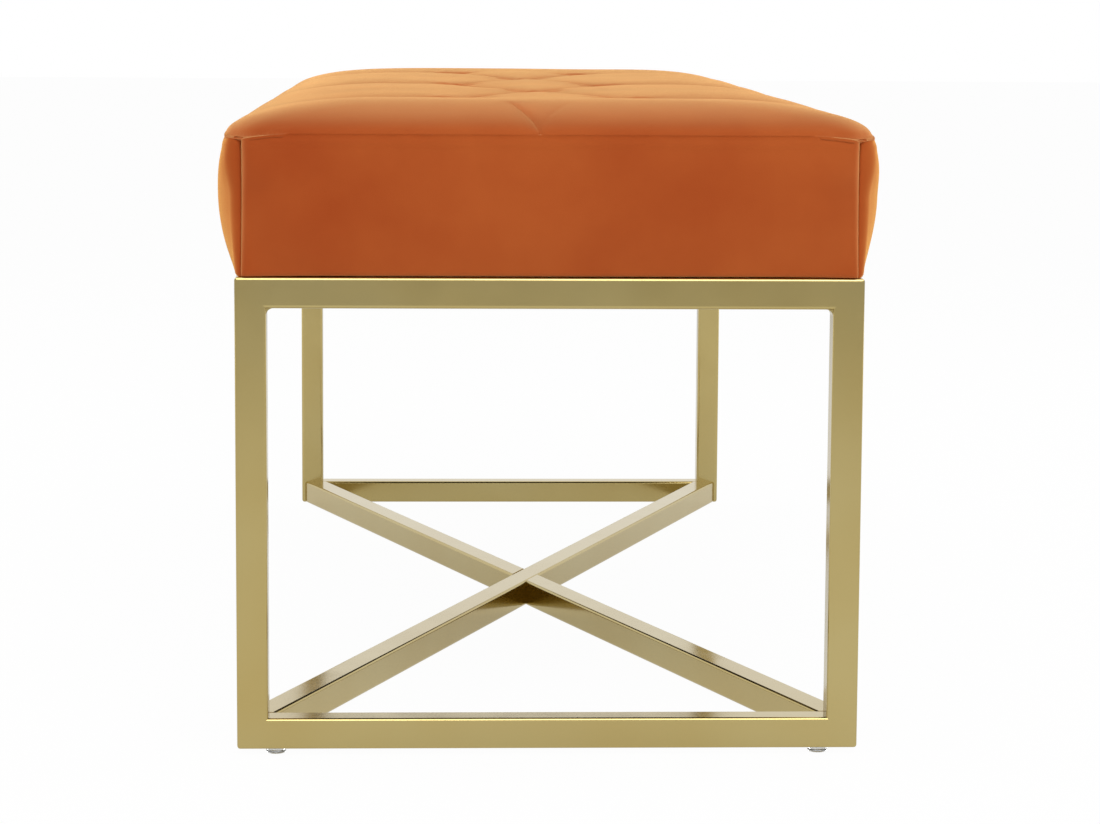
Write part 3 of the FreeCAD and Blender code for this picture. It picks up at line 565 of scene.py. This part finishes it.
def drawn_in(point):
    """Depths to which tufts and pleats draw the cover in at a place: wide hollow and sharp crease."""
    hollow = crease = 0.0
    for number, tuft in enumerate(tufts):
        across = point - tuft
        away = across.length
        if away < TUFT_REACH:
            round_it = math.atan2(across.y, across.x)
            gather = away / TUFT_PUCKER_REACH * math.exp(1 - away / TUFT_PUCKER_REACH)
            hollow = max(hollow, TUFT_DEPTH * (1 - away / TUFT_REACH) ** 2)
            crease += TUFT_PUCKER * gather * math.cos(TUFT_FOLDS * round_it + TUFT_TURN * number)
    for start, finish, full_depth, reach, taper in pleats:
        away, share = distance_to_line(point, start, finish)
        depth = full_depth * (1 - taper * (1 - share))
        hollow = max(hollow, depth * (1 - CREASE_SHARE) * math.exp(-away / reach))
        crease = max(crease, depth * CREASE_SHARE * math.exp(-away / CREASE_WIDTH))
    return hollow, crease


work = bmesh.new()
bmesh.ops.create_grid(work, x_segments=TOP_COLUMNS, y_segments=TOP_ROWS, size=1)
for vertex in work.verts:
    u, v = eased(vertex.co.x, TOP_CROWDING), eased(vertex.co.y, TOP_CROWDING)
    vertex.co.x = u * side_line(v * corner_y)
    vertex.co.y = v * end_line(u * corner_x)
for start, finish, *_ in pleats:
    across = (finish - start).orthogonal().normalized()
    band = [face for face in work.faces
            if distance_to_line(face.calc_center_median().xy, start, finish)[0] < CREASE_BAND]
    borders = dict.fromkeys(part for face in band for part in (*face.verts, *face.edges))
    cut = [*borders, *band]
    for offset in CREASE_CUTS:
        through = (*(start + across * offset), 0)
        cut = bmesh.ops.bisect_plane(work, geom=cut, dist=CUT_TOLERANCE, plane_co=through,
                                     plane_no=(*across, 0))["geom"]
for vertex in work.verts:
    point = vertex.co.xy
    to_side = side_line(point.y) - abs(point.x)
    to_end = end_line(point.x) - abs(point.y)
    inset = min(to_side, to_end)
    side_share, end_share = to_side / SIDE_CROWN_REACH, to_end / END_CROWN_REACH
    inward = soft_least(side_share, end_share)
    lifted = rise(inward)
    if side_share < end_share:
        outward, reach = Vector((math.copysign(1, point.x), 0)), SIDE_CROWN_REACH
    else:
        outward, reach = Vector((0, math.copysign(1, point.y))), END_CROWN_REACH
    hollow, crease = drawn_in(point)
    crease *= max(CREASE_AT_SEAM, lifted)
    leaning = max(0.0, 1 - inward) * CROWN_HEIGHT / reach
    normal = Vector((*(outward * leaning), lifted)).normalized()
    ripple = Vector((point.x * TOP_WAVES, point.y * TOP_WAVES, TOP_SEED))
    soft = SOFT_WAVE * fading(inset, WAVE_TO_CORNER) * noise.noise(ripple)
    bead = SEAM_BEAD * math.exp(-CROWN_HEIGHT * lifted / SEAM_BEAD_REACH)
    tuck = CORNER_SEAM_SINK * math.exp(-(to_side + to_end) / CORNER_SEAM_REACH)
    place = point + outward * bead
    place -= Vector((math.copysign(tuck, point.x), math.copysign(tuck, point.y)))
    height = (CROWN_HEIGHT + CROWN_TILT * point.y - hollow) * lifted + soft
    height -= droop(max(to_side, to_end)) * max(0.0, 1 - inset / CORNER_DROOP_RUN)
    vertex.co = Vector((*place, seam_z + height)) - normal * crease
top = link_piece("velvet_tufted_top_panel", work, velvet)
add_wall(top)
stand_for(top, "tufted_top_panel")


# Studio
# White floor that keeps a faint shadow, soft light from all round, and the photograph's camera.

def seen_by_eye(tree):
    """1 for rays from the camera, straight or by way of metal or clear plastic, and 0 for the rest."""
    rays = tree.nodes.new("ShaderNodeLightPath")
    seen = rays.outputs["Is Camera Ray"]
    for kind in ("Is Glossy Ray", "Is Transmission Ray"):
        either = tree.nodes.new("ShaderNodeMath")
        either.operation = "MAXIMUM"
        tree.links.new(seen, either.inputs[0])
        tree.links.new(rays.outputs[kind], either.inputs[1])
        seen = either.outputs["Value"]
    return seen


FLOOR_SIZE = 40.0
FLOOR_WHITE = (0.9, 0.9, 0.9, 1)
FLOOR_GLOW, FLOOR_GLOW_IN_METAL = 0.97, 0.6
# Metal sees the floor fall off from white near the bench to grey further out
NEAR_FLOOR, FAR_FLOOR, FAR_GREY = 0.8, 4.2, 0.66
work = bmesh.new()
bmesh.ops.create_grid(work, x_segments=1, y_segments=1, size=FLOOR_SIZE / 2)
white, tree, shader = new_material("white_floor", Base_Color=FLOOR_WHITE, Roughness=0.9)
rays = tree.nodes.new("ShaderNodeLightPath")
part = tree.nodes.new("ShaderNodeMix")
part.inputs["A"].default_value = FLOOR_GLOW
part.inputs["B"].default_value = FLOOR_GLOW_IN_METAL
tree.links.new(rays.outputs["Is Glossy Ray"], part.inputs["Factor"])
share = tree.nodes.new("ShaderNodeMath")
share.operation = "MULTIPLY"
tree.links.new(seen_by_eye(tree), share.inputs[0])
tree.links.new(part.outputs["Result"], share.inputs[1])
coordinates = tree.nodes.new("ShaderNodeTexCoord")
radius = tree.nodes.new("ShaderNodeVectorMath")
radius.operation = "LENGTH"
tree.links.new(coordinates.outputs["Object"], radius.inputs[0])
falloff = tree.nodes.new("ShaderNodeMapRange")
falloff.inputs["From Min"].default_value = NEAR_FLOOR
falloff.inputs["From Max"].default_value = FAR_FLOOR
falloff.inputs["To Min"].default_value = 1.0
falloff.inputs["To Max"].default_value = FAR_GREY
tree.links.new(radius.outputs["Value"], falloff.inputs["Value"])
strength = tree.nodes.new("ShaderNodeMix")
strength.inputs["A"].default_value = 1.0
tree.links.new(rays.outputs["Is Glossy Ray"], strength.inputs["Factor"])
tree.links.new(falloff.outputs["Result"], strength.inputs["B"])
glow = tree.nodes.new("ShaderNodeEmission")
tree.links.new(strength.outputs["Result"], glow.inputs["Strength"])
mix = tree.nodes.new("ShaderNodeMixShader")
tree.links.new(share.outputs["Value"], mix.inputs["Fac"])
tree.links.new(shader.outputs["BSDF"], mix.inputs[1])
tree.links.new(glow.outputs["Emission"], mix.inputs[2])
tree.links.new(mix.outputs["Shader"], tree.nodes["Material Output"].inputs["Surface"])
floor = link_piece("floor", work, white)

WORLD_LIGHT = 0.36
world = bpy.data.worlds.new("studio")
world.use_nodes = True
bpy.context.scene.world = world
tree = world.node_tree
background = tree.nodes["Background"]
background.inputs["Color"].default_value = (1, 1, 1, 1)
background.inputs["Strength"].default_value = WORLD_LIGHT
backdrop = tree.nodes.new("ShaderNodeBackground")
backdrop.inputs["Color"].default_value = (1, 1, 1, 1)
mix = tree.nodes.new("ShaderNodeMixShader")
tree.links.new(seen_by_eye(tree), mix.inputs["Fac"])
tree.links.new(background.outputs["Background"], mix.inputs[1])
tree.links.new(backdrop.outputs["Background"], mix.inputs[2])
tree.links.new(mix.outputs["Shader"], tree.nodes["World Output"].inputs["Surface"])

LIT_PLACE = (0.0, 0.0, 0.35)


def softbox(name, place, size, watts):
    """A soft rectangular lamp, turned to the bench."""
    light = bpy.data.lights.new(name, "AREA")
    light.shape = "RECTANGLE"
    light.size, light.size_y = size
    light.energy = watts
    lamp = bpy.data.objects.new(name, light)
    lamp.location = place
    lamp.rotation_euler = (Vector(LIT_PLACE) - Vector(place)).to_track_quat("-Z", "Y").to_euler()
    bpy.context.scene.collection.objects.link(lamp)
    return lamp


softbox("overhead", place=(0.0, -0.4, 2.8), size=(2.6, 3.2), watts=18)
# The side lamps light the velvet without a glint on the metal's rounded edges
for name, side in (("left", -2.8), ("right", 2.8)):
    lamp = softbox(name, place=(side, 1.0, 0.5), size=(2.4, 0.9), watts=66)
    lamp.visible_glossy = False
softbox("front", place=(0.3, -2.8, 2.5), size=(3.0, 1.4), watts=52)

FOCAL_LENGTH, SENSOR_WIDTH = 104.08, 36.0
CAMERA_PLACE = (-0.0819, -2.7814, 0.5279)
CAMERA_YAW, CAMERA_PITCH, CAMERA_ROLL = -0.0371, -0.1273, -0.0059
lens = bpy.data.cameras.new("camera")
lens.sensor_fit = "HORIZONTAL"
lens.sensor_width = SENSOR_WIDTH
lens.lens = FOCAL_LENGTH
camera = bpy.data.objects.new("camera", lens)
aim = Matrix.Rotation(CAMERA_YAW, 4, "Z") @ Matrix.Rotation(CAMERA_PITCH, 4, "X")
aim = aim @ Matrix.Rotation(CAMERA_ROLL, 4, "Y") @ Matrix.Rotation(math.pi / 2, 4, "X")
camera.matrix_world = Matrix.Translation(CAMERA_PLACE) @ aim
bpy.context.scene.collection.objects.link(camera)
bpy.context.scene.camera = camera
bpy.context.scene.view_settings.view_transform = "Standard"
